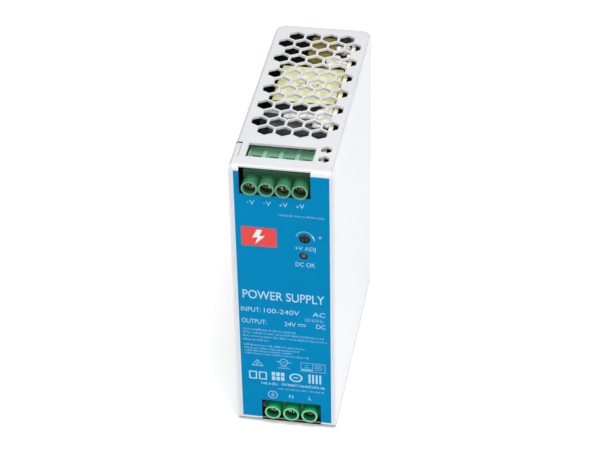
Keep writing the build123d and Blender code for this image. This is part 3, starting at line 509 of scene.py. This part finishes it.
# painted shade: a yellow part given a darker olive base colour to stand for the shade it sits in
MATS["olive_box"] = m_plastic("olive_yellow_shaded", lin(122, 106, 36), 0.22, grain=500, bumpd=0.00005)
MATS["dark_plastic"] = m_plastic("moulded_black", (0.022, 0.022, 0.024), 0.42)
MATS["rotor_plastic"] = m_plastic("rotor_grey", (0.016, 0.016, 0.018), 0.42)
MATS["lamp_lens"] = m_plastic("lamp_lens", lin(70, 64, 60), 0.26, alt=lin(80, 72, 64))
MATS["ferrite"] = m_ferrite("ferrite")
MATS["copper_wire"] = m_copper("enamel_copper")
MATS["yellow_tape"] = m_tape("polyester_tape")
MATS["capacitor_sleeve"] = m_sleeve("can_sleeve", (0.030, 0.027, 0.028), (0.72, 0.72, 0.73))
MATS["film_box"] = m_plastic("film_box", lin(214, 186, 40), 0.34)
MATS["disc_coating"] = m_plastic("disc_blue", lin(30, 92, 170), 0.3, grain=600, bumpd=0.00006)
MATS["thermistor_coating"] = m_plastic("disc_dark_green", (0.02, 0.035, 0.022), 0.42, grain=500, bumpd=0.00008)
MATS["fuse_body"] = m_plastic("fuse_ceramic", lin(226, 220, 204), 0.25)
MATS["heatsink_aluminium"] = m_metal("mill_aluminium", (0.86, 0.86, 0.87), 0.42, (0.06, 1, 1))
MATS["choke_core"] = m_plastic("powder_core", lin(196, 172, 40), 0.4)
MATS["silicone"] = m_silicone("silicone")
MATS["zinc_steel"] = m_metal("zinc_sheet", (0.66, 0.67, 0.66), 0.32, (0.08, 1, 1), tint=(0.60, 0.60, 0.52))
MATS["spring_steel"] = m_metal("spring_wire", (0.50, 0.50, 0.49), 0.26, (1, 1, 1))


def paint(obj, mat):
    if not obj.data.materials:
        obj.data.materials.append(mat)
    else:
        for i in range(len(obj.data.materials)):
            obj.data.materials[i] = mat


slots = {s["node"]: s["material_slot"] for s in frame["record"]["subparts"]}
for name, obj in NODES.items():
    paint(obj, MATS[slots[name]])
SCREWS = m_screw("terminal_screw", (0.95, 0.92, 0.88))
for key, obj in NODES.items():
    if "_screw_" in key:
        paint(obj, SCREWS)
# these two coats carry painted shade on the opening edges and a painted contact shadow along the lower edges
paint(NODES["side_shell"], m_powder("paint_light_side_shaded", WHITE, True))
paint(NODES["front_cover"], m_powder("paint_light_cut_shaded", WHITE, True))
paint(NODES["output_board"], m_board("board_output", "Y", lin(176, 120, 48)))
paint(NODES["input_board"], m_board("board_input", "Y", lin(176, 120, 48)))
paint(NODES["transformer_base"], m_plastic("bobbin_phenolic", lin(132, 96, 40), 0.4, alt=lin(96, 66, 24)))

# ------------------------------------------------------------------ printed graphics on the front film
INK = m_ink("ink_white", lin(166, 203, 226))
INK_RED = m_ink("ink_red", lin(220, 46, 40))
INK_BOLT = m_ink("ink_bolt", lin(226, 226, 230))
INK_SOFT = m_ink("ink_pale", lin(116, 178, 212))
Y_PRINT = YF - 0.00015            # outer face of the film
LIFT = 0.00002


def add_mesh(name, verts, faces, mat, body="case"):
    me = bpy.data.meshes.new(name)
    me.from_pydata(verts, [], faces)
    me.update()
    o = bpy.data.objects.new(name, me)
    SCN.collection.objects.link(o)
    me.materials.append(mat)
    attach(o, body)
    return o


def flat_solid(name, polys, mat, thick=LIFT, y=None):
    """Closed thin prisms on the film. polys are lists of (x, z) in mm, counter-clockwise seen from the front."""
    y1 = Y_PRINT if y is None else y
    bm = bmesh.new()
    for poly in polys:
        fr = [bm.verts.new((x * MM, y1 - thick, z * MM)) for x, z in poly]
        bk = [bm.verts.new((x * MM, y1 + 0.00001, z * MM)) for x, z in poly]
        bm.faces.new(fr)
        bm.faces.new(list(reversed(bk)))
        for i in range(len(poly)):
            j = (i + 1) % len(poly)
            bm.faces.new((fr[j], fr[i], bk[i], bk[j]))
    bmesh.ops.recalc_face_normals(bm, faces=bm.faces)
    me = bpy.data.meshes.new(name)
    bm.to_mesh(me)
    bm.free()
    o = bpy.data.objects.new(name, me)
    SCN.collection.objects.link(o)
    me.materials.append(mat)
    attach(o, "case")
    return o


def box_poly(x0, x1, z0, z1):
    return [(x0, z0), (x1, z0), (x1, z1), (x0, z1)]


def arc_band(cx, cz, r0, r1, a0, a1, n=28):
    pts = []
    for i in range(n + 1):
        a = math.radians(a0 + (a1 - a0) * i / n)
        pts.append((cx + r0 * math.cos(a), cz + r0 * math.sin(a)))
    for i in range(n, -1, -1):
        a = math.radians(a0 + (a1 - a0) * i / n)
        pts.append((cx + r1 * math.cos(a), cz + r1 * math.sin(a)))
    return [(pts[i], pts[i + 1], pts[2 * n - i], pts[2 * n + 1 - i]) for i in range(n)]


def label_text(name, body, x0, x1, z, cap, mat, bold=0.0):
    """Generic lettering fitted between x0 and x1 (mm), cap height cap, centred on z."""
    def outline(txt, off):
        cu = bpy.data.curves.new("tmp_text", "FONT")
        cu.body = txt
        cu.size = 1.0
        cu.extrude = 0.001
        cu.offset = off
        cu.resolution_u = 5
        o = bpy.data.objects.new("tmp_text", cu)
        SCN.collection.objects.link(o)
        bpy.context.view_layer.update()
        me = bpy.data.meshes.new_from_object(o.evaluated_get(bpy.context.evaluated_depsgraph_get()))
        bpy.data.objects.remove(o)
        bpy.data.curves.remove(cu)
        return me
    ref = outline("H", 0.0)
    h = max(v.co.y for v in ref.vertices)
    bpy.data.meshes.remove(ref)
    me = outline(body, bold)
    bm = bmesh.new()
    bm.from_mesh(me)
    bmesh.ops.remove_doubles(bm, verts=bm.verts, dist=1e-5)
    lo = min(v.co.x for v in bm.verts)
    hi = max(v.co.x for v in bm.verts)
    k = (x1 - x0) / (hi - lo)
    for v in bm.verts:
        px, pz, py = x0 + (v.co.x - lo) * k, z + (v.co.y / h - 0.5) * cap, v.co.z
        v.co = (px * MM, Y_PRINT + (0.00001 if py < 0 else -LIFT), pz * MM)
    bmesh.ops.recalc_face_normals(bm, faces=bm.faces)
    me.clear_geometry()
    bm.to_mesh(me)
    bm.free()
    me.name = name
    me.materials.clear()
    me.materials.append(mat)
    ob = bpy.data.objects.new(name, me)
    SCN.collection.objects.link(ob)
    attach(ob, "case")
    return ob


def fine_print(name, lines, h, mat, seed):
    """Rows of small unreadable marks in word lengths, in place of fine print. lines: (x0, x1, z)."""
    rnd = random.Random(seed)
    polys = []
    for x0, x1, z in lines:
        x = x0
        while x < x1 - 0.4:
            for _ in range(rnd.choice((2, 4, 5, 6, 7, 8, 9))):
                w = rnd.choice((0.26, 0.34, 0.34, 0.40))
                if x + w > x1:
                    break
                hh = h * rnd.choice((0.72, 0.72, 0.72, 1.0))
                st = 0.12
                kind = rnd.random()
                zb = z - h / 2
                if kind < 0.35:       # hoop: two uprights and a bar on top
                    polys += [box_poly(x, x + st, zb, zb + hh), box_poly(x + w - st, x + w, zb, zb + hh * 0.9),
                              box_poly(x + st, x + w - st, zb + hh - st, zb + hh)]
                elif kind < 0.7:      # bowl: upright with two short bars
                    polys += [box_poly(x, x + st, zb, zb + hh), box_poly(x + st, x + w, zb, zb + st),
                              box_poly(x + st, x + w * 0.9, zb + hh * 0.5, zb + hh * 0.5 + st)]
                else:
                    polys += [box_poly(x + w / 2 - st / 2, x + w / 2 + st / 2, zb, zb + hh)]
                x += w + 0.13
            x += 0.32
    return flat_solid(name, polys, mat)


# terminal marks
for i, (t, x) in enumerate((("-V", -11.95), ("-V", -5.6), ("+V", 0.75), ("+V", 7.1))):
    label_text(f"mark_output_{i + 1}", t[1], x - 0.2, x + 1.6, 109.35, 2.0, INK, -0.006)
    bars = [box_poly(x - 1.25, x - 0.65, 109.2, 109.38)]
    if t[0] == "+":
        bars = [box_poly(x - 1.55, x - 0.5, 108.95, 109.15), box_poly(x - 1.13, x - 0.92, 108.5, 109.6)]
    flat_solid(f"mark_output_sign_{i + 1}", bars, INK)
label_text("mark_neutral", "N", 1.15, 2.85, 14.8, 1.9, INK, -0.008)
label_text("mark_line", "L", 9.2, 10.3, 14.85, 1.9, INK, -0.008)
ring = arc_band(-5.5, 14.9, 1.72, 1.96, 0, 360, 40)
flat_solid("mark_earth", ring + [box_poly(-5.59, -5.41, 14.9, 16.1), box_poly(-6.35, -4.65, 14.76, 14.94),
                                 box_poly(-6.05, -4.95, 14.32, 14.48), box_poly(-5.75, -5.25, 13.88, 14.04)], INK)
# trimmer scale and lamp
label_text("mark_adjust", "+V ADJ", 4.8, 12.75, 89.8, 1.75, INK, -0.006)
label_text("mark_lamp", "DC OK", 4.95, 12.5, 82.15, 1.9, INK, -0.006)
flat_solid("mark_plus", [box_poly(13.8, 15.2, 95.5, 95.7), box_poly(14.4, 14.6, 94.9, 96.3)], INK)
arc = arc_band(8.55, 94.4, 3.25, 3.42, 38, 165, 30)
flat_solid("mark_arc", arc + [[(11.0, 96.75), (11.3, 95.9), (12.55, 93.3), (12.15, 95.6)]], INK)


# maker's field: a plain red plate with a bolt, as on any mains device
def rounded(x0, x1, z0, z1, r, n=5):
    pts = []
    for cx, cz, a in ((x1 - r, z0 + r, -90), (x1 - r, z1 - r, 0), (x0 + r, z1 - r, 90), (x0 + r, z0 + r, 180)):
        for i in range(n + 1):
            t = math.radians(a + 90 * i / n)
            pts.append((cx + r * math.cos(t), cz + r * math.sin(t)))
    return pts


flat_solid("plate_red", [rounded(-15.75, -2.2, 89.1, 97.9, 0.3)], INK_RED)
BOLT = [(-9.7, 96.9), (-11.6, 93.0), (-9.5, 93.3), (-10.5, 90.1), (-6.6, 94.1), (-8.8, 94.0), (-7.7, 96.9)]
flat_solid("plate_bolt", [list(reversed([BOLT[0], BOLT[1], BOLT[2]])), list(reversed([BOLT[0], BOLT[2], BOLT[5], BOLT[6]])),
                          list(reversed([BOLT[2], BOLT[3], BOLT[4], BOLT[5]]))], INK_BOLT, y=Y_PRINT - LIFT)

# type of device and its plain ratings
label_text("title", "POWER SUPPLY", -16.2, 15.9, 65.5, 4.0, INK, 0.004)
label_text("line_input", "INPUT:", -17.1, -9.3, 58.0, 2.2, INK, -0.006)
label_text("line_input_value", "100-240V", -8.0, 6.0, 58.05, 2.2, INK, -0.006)
label_text("line_input_kind", "AC", 11.2, 16.2, 58.2, 2.15, INK, -0.006)
label_text("line_input_hz", "50/60Hz", 8.1, 15.5, 55.15, 1.55, INK_SOFT, -0.008)
label_text("line_output", "OUTPUT:", -17.0, -7.2, 52.15, 2.2, INK, -0.006)
label_text("line_output_value", "24V", 0.0, 4.5, 52.2, 2.1, INK, -0.006)
flat_solid("line_output_dc", [box_poly(5.3, 8.5, 52.55, 52.8), box_poly(5.3, 6.15, 51.75, 51.97), box_poly(6.48, 7.32, 51.75, 51.97),
                              box_poly(7.65, 8.5, 51.75, 51.97)], INK)
label_text("line_output_kind", "DC", 12.6, 16.3, 52.3, 2.1, INK, -0.006)

# fine print
fine_print("print_upper", [(-1.2, 16.6, 104.7)], 1.0, INK_SOFT, 3)
fine_print("print_notes", [(-16.9, 4.9, 48.1), (-16.8, 15.7, 46.4), (-16.8, 17.0, 44.65), (-16.7, -6.4, 42.8)], 1.05, INK_SOFT, 5)
fine_print("print_maker", [(-16.6, 8.6, 40.15), (-16.5, 6.4, 38.6), (-16.4, 3.0, 37.2), (-16.4, 10.2, 35.8)], 1.0, INK_SOFT, 7)
fine_print("print_origin", [(-10.0, -3.3, 20.75), (-1.7, 16.0, 21.0)], 1.45, INK, 11)
fine_print("print_lower", [(-3.2, 15.4, 18.5)], 0.95, INK_SOFT, 13)

# plain shapes in place of approval marks
tri = [[(-13.9, 29.4), (-13.2, 29.85), (-11.35, 32.1), (-11.35, 32.8)], [(-11.35, 32.8), (-11.35, 32.1), (-9.5, 29.85), (-8.8, 29.4)],
       [(-13.9, 29.4), (-8.8, 29.4), (-9.5, 29.9), (-13.2, 29.9)]]
flat_solid("shape_triangle", [list(reversed(t)) for t in tri[:2]] + [tri[2]] + [box_poly(-11.7, -11.0, 30.2, 31.2)], INK_SOFT)
flat_solid("shape_ring", arc_band(-0.7, 32.5, 1.4, 1.75, 0, 360, 36) + [box_poly(-1.5, 0.1, 32.35, 32.65), box_poly(-3.7, -2.6, 32.3, 32.65),
                                                                        box_poly(1.2, 2.3, 32.3, 32.65), box_poly(-2.2, 0.8, 30.0, 30.25),
                                                                        box_poly(-3.3, 1.9, 29.2, 29.42)], INK_SOFT)
flat_solid("shape_panel", [box_poly(6.1, 16.0, 33.1, 33.3), box_poly(6.1, 16.0, 28.8, 29.0), box_poly(6.1, 6.3, 29.0, 33.1),
                           box_poly(15.8, 16.0, 29.0, 33.1), box_poly(10.8, 11.0, 29.0, 33.1), box_poly(6.6, 10.5, 29.2, 30.1),
                           box_poly(7.6, 9.5, 30.7, 30.95), box_poly(8.0, 9.1, 31.9, 32.15), box_poly(11.6, 15.0, 32.3, 32.5),
                           box_poly(11.6, 14.2, 31.6, 31.8), box_poly(11.6, 15.0, 30.9, 31.1), box_poly(11.6, 14.6, 30.0, 30.2)], INK_SOFT)
flat_solid("shape_squares", [box_poly(-14.9, -11.7, 26.0, 26.5), box_poly(-14.9, -11.7, 22.5, 23.0), box_poly(-14.9, -14.4, 23.0, 26.0),
                             box_poly(-12.2, -11.7, 23.0, 26.0), box_poly(-10.9, -7.7, 26.0, 26.5), box_poly(-10.9, -7.7, 22.5, 23.0),
                             box_poly(-10.9, -10.4, 23.0, 26.0), box_poly(-8.2, -7.7, 23.0, 26.0)], INK)
flat_solid("shape_grid", [box_poly(-5.7 + 1.85 * i, -4.3 + 1.85 * i, 22.7 + 2.35 * j, 24.6 + 2.35 * j) for i in range(3) for j in range(2)], INK)
oval = [[(4.1 + (px - 4.1) * 1.22, pz) for px, pz in q] for q in arc_band(4.1, 25.0, 1.62, 2.2, 0, 360, 40)]
flat_solid("shape_oval", oval + [box_poly(3.1, 5.1, 24.8, 25.2)], INK)
flat_solid("shape_bars", [box_poly(9.2 + 1.45 * i, 9.95 + 1.45 * i, 22.8, 27.4) for i in range(4)], INK)

# small dark date marks on the transformer tape
def top_marks(name, lines, z, mat, seed, body="case"):
    rnd = random.Random(seed)
    bm = bmesh.new()
    for x0, x1, y, h in lines:
        x = x0
        while x < x1:
            w = rnd.choice((0.30, 0.42, 0.55))
            if rnd.random() < 0.85:
                for k in range(rnd.choice((1, 2))):
                    a0, b0 = x + 0.04 * k, y + h * (0.55 * k + 0.06 * rnd.random())
                    bmesh.ops.create_cube(bm, size=1.0, matrix=Matrix.Translation(((a0 + w / 2) * MM, (YF * 1000 + b0 + h * 0.2) * MM, z * MM + 0.00001))
                                          @ Matrix.Diagonal((w * MM, h * 0.38 * MM, 0.00003, 1)))
            x += w + 0.16
    me = bpy.data.meshes.new(name)
    bm.to_mesh(me)
    bm.free()
    o = bpy.data.objects.new(name, me)
    SCN.collection.objects.link(o)
    me.materials.append(mat)
    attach(o, body)
    return o


INK_DARK = m_ink("ink_dark", lin(84, 78, 58))
TAPE_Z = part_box("transformer_tape")[1][2] * 1000
top_marks("tape_marks", [(-6.0, -1.0, 69.6, 1.5), (0.2, 4.6, 68.6, 1.5), (-5.6, -1.6, 67.4, 1.2), (0.6, 4.2, 66.6, 1.2)], TAPE_Z, INK_DARK, 21)

# ------------------------------------------------------------------ silicone
def silicone(name, blobs, voxel=0.00034, rough=0.00022, seed=1.0, replaces=None):
    """Set silicone as it comes out of the nozzle: runs of overlapping drops, fused and sagging a little.
    blobs: (x, u, z, rx, ru, rz) in mm."""
    bm = bmesh.new()
    for x, uu, z, rx, ry, rz in blobs:
        mat = Matrix.Translation((x * MM, YF + uu * MM, z * MM)) @ Matrix.Diagonal((rx * MM, ry * MM, rz * MM, 1))
        bmesh.ops.create_icosphere(bm, subdivisions=3, radius=1.0, matrix=mat)
    me = bpy.data.meshes.new(name)
    bm.to_mesh(me)
    bm.free()
    o = bpy.data.objects.new(name, me)
    SCN.collection.objects.link(o)
    rm = o.modifiers.new("remesh", "REMESH")
    rm.mode = "VOXEL"
    rm.voxel_size = voxel
    sm = o.modifiers.new("smooth", "SMOOTH")
    sm.iterations = 5
    sm.factor = 0.6
    bpy.context.view_layer.update()
    out = bpy.data.meshes.new_from_object(o.evaluated_get(bpy.context.evaluated_depsgraph_get()))
    o.modifiers.clear()
    o.data = out
    out.name = name
    from mathutils import noise as mn
    for v in out.vertices:
        d = mn.noise(Vector(v.co) * 420 + Vector((seed, 0, 0))) * rough * 1.6 + mn.noise(Vector(v.co) * 1300 + Vector((0, seed, 0))) * rough * 0.5
        v.co += v.normal * d
    for p in out.polygons:
        p.use_smooth = True
    out.materials.clear()
    out.materials.append(MATS["silicone"])
    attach(o, "case")
    if replaces:
        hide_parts(replaces)
    return o


rs = random.Random(4)
run = []
for k in range(20):            # along the heat sink, towards the board
    t = k / 19
    x = -5.2 + 17.0 * t
    run.append((x + rs.uniform(-0.3, 0.3), 43.0 + 1.5 * math.sin(3.1 * t + 0.4) + rs.uniform(-0.5, 0.5), 120.2 + 0.9 * t + rs.uniform(-0.2, 0.3),
                1.5 + 0.9 * t, 1.5 + 1.6 * t, 0.8 + 0.8 * t))
for k in range(9):             # thick end at the board
    run.append((5.6 + 6.2 * rs.random(), 38.6 + 7.6 * rs.random(), 120.8 + rs.random() * 0.7, 1.9, 2.0, 1.1))
run += [(11.0, 47.2, 121.6, 1.5, 2.0, 1.1), (9.0, 46.6, 121.9, 1.9, 1.6, 1.0), (11.2, 38.4, 120.9, 1.4, 1.7, 1.0), (7.2, 37.4, 120.6, 2.0, 1.2, 0.8)]
rear = [(6.4, 84.0, 121.6, 2.8, 2.3, 1.5), (8.6, 83.4, 121.2, 2.4, 2.2, 1.4), (4.6, 84.2, 122.2, 1.3, 1.8, 1.0), (10.6, 84.0, 120.6, 2.0, 2.0, 1.3),
        (7.4, 86.2, 121.8, 2.1, 1.8, 1.2), (5.4, 82.4, 120.9, 1.8, 1.5, 1.2)]
for k in range(9):             # bead down the rear of the capacitor to the board
    rear.append((7.6 + 0.55 * k * 0.9, 93.6 + 3.6 * rs.random(), 119.4 + 1.0 * rs.random(), 1.3, 1.5, 1.0))
rear += [(7.6, 92.6, 122.2, 1.5, 1.9, 1.1), (8.9, 93.4, 121.2, 1.7, 1.9, 1.2), (10.6, 94.6, 121.4, 1.4, 1.7, 1.0), (9.8, 93.6, 120.2, 1.6, 2.0, 1.4)]
front = [(6.4, 24.6, 120.7, 1.0, 1.3, 0.7), (8.0, 24.9, 120.9, 1.3, 1.3, 0.7), (9.7, 24.6, 120.7, 1.0, 1.2, 0.7)]
SIL = silicone("silicone_runs", run + rear + front, replaces="silicone_beads")

# ------------------------------------------------------------------ camera, light, floor
def latch_coil():
    """Compression spring of the rail latch: drawn wire with a closed coil at each end."""
    (x0, y0, z0), (x1, y1, z1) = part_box("latch_spring")
    cx, cy = (x0 + x1) / 2, (y0 + y1) / 2
    wire, radius = 0.00025, 0.0015
    zs, ze = z0 + wire, z1 - wire
    dead, live = 1.25, 5.5
    rise = 0.00053 * dead
    per, sides = 26, 12
    total = 2 * dead + live
    n = int(total * per)
    rings = []
    for i in range(n + 1):
        t = total * i / n
        if t < dead:
            z = zs + rise * t / dead
        elif t > total - dead:
            z = ze - rise * (total - t) / dead
        else:
            z = zs + rise + (ze - zs - 2 * rise) * (t - dead) / live
        a = 2 * math.pi * t
        rings.append((a, z))
    verts, faces = [], []
    for a, z in rings:
        for k in range(sides):
            b = 2 * math.pi * k / sides
            r = radius + wire * math.cos(b)
            verts.append((cx + r * math.cos(a), cy + r * math.sin(a), z + wire * math.sin(b)))
    for i in range(n):
        for k in range(sides):
            p, q = i * sides + k, i * sides + (k + 1) % sides
            faces.append((p, q, q + sides, p + sides))
    faces.append(tuple(range(sides - 1, -1, -1)))
    faces.append(tuple(n * sides + k for k in range(sides)))
    o = add_mesh("latch_spring_coil", verts, faces, MATS["spring_steel"], "case")
    for f in o.data.polygons:
        f.use_smooth = len(f.vertices) == 4
    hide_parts("latch_spring")
    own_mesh(o)


latch_coil()


def setup_stage():
    w = bpy.data.worlds.new("studio")
    SCN.world = w
    w.use_nodes = True
    bg = w.node_tree.nodes["Background"]
    bg.inputs["Color"].default_value = (1.0, 1.0, 1.0, 1)
    bg.inputs["Strength"].default_value = 0.62
    nt = w.node_tree
    tc = nt.nodes.new("ShaderNodeTexCoord")
    sp = nt.nodes.new("ShaderNodeSeparateXYZ")
    mr = nt.nodes.new("ShaderNodeMapRange")
    nt.links.new(tc.outputs["Generated"], sp.inputs[0])
    nt.links.new(sp.outputs["Y"], mr.inputs["Value"])
    for k, v in (("From Min", 0.0), ("From Max", 0.55), ("To Min", 1.0), ("To Max", 0.22)):
        mr.inputs[k].default_value = v
    nt.links.new(mr.outputs["Result"], bg.inputs["Color"])

    fm = Mat("floor_pale")
    g = fm.noise(8, 3, 0.5)
    fm.set(color=fm.ramp(g, [(0.3, (0.94, 0.94, 0.94)), (0.7, (0.96, 0.96, 0.96))]), rough=0.6, spec=0.2, emit=(1, 1, 1), emit_s=0.20)
    bm = bmesh.new()
    s = 3.0
    vs = [bm.verts.new(p) for p in ((-s, -s, -0.00035), (s, -s, -0.00035), (s, s, -0.00035), (-s, s, -0.00035))]
    bm.faces.new(vs)
    me = bpy.data.meshes.new("floor")
    bm.to_mesh(me)
    bm.free()
    fl = bpy.data.objects.new("floor", me)
    SCN.collection.objects.link(fl)
    me.materials.append(fm.m)

    def area(name, loc, target, size, power, color=(1, 1, 1)):
        l = bpy.data.lights.new(name, "AREA")
        l.shape = "RECTANGLE"
        l.size, l.size_y = size
        l.energy = power
        l.color = color
        o = bpy.data.objects.new(name, l)
        SCN.collection.objects.link(o)
        o.location = loc
        o.rotation_mode = "QUATERNION"
        o.rotation_quaternion = (Vector(target) - Vector(loc)).to_track_quat("-Z", "Y")
        return o

    c = (0, 0, 0.06)
    area("key", (0.14, -0.30, 1.0), c, (0.35, 0.35), 3.5)
    area("fill", (0.09, -0.62, 0.60), c, (0.08, 0.08), 0.9)
    area("right", (0.85, -0.15, 0.35), c, (0.5, 0.7), 2.8)
    area("top", (0.0, 0.10, 1.0), c, (0.8, 0.8), 2.3)

    cam = bpy.data.cameras.new("camera")
    cam.sensor_fit = "HORIZONTAL"
    cam.sensor_width = 36.0
    cam.lens = 1931.5834 * 36.0 / 600.0
    cam.clip_start, cam.clip_end = 0.02, 20
    o = bpy.data.objects.new("camera", cam)
    SCN.collection.objects.link(o)
    right = Vector((0.985582, 0.16847909, -0.01558574))
    down = Vector((0.08712391, -0.58430408, -0.80684458))
    fwd = Vector((-0.14504325, 0.7938536, -0.59055814))
    mat = Matrix((right, -down, -fwd)).transposed().to_4x4()
    mat.translation = Vector((0.11202792, -0.57537414 + YF, 0.52871073))
    o.matrix_world = mat
    SCN.camera = o


setup_stage()
SCN.view_settings.view_transform = "Standard"
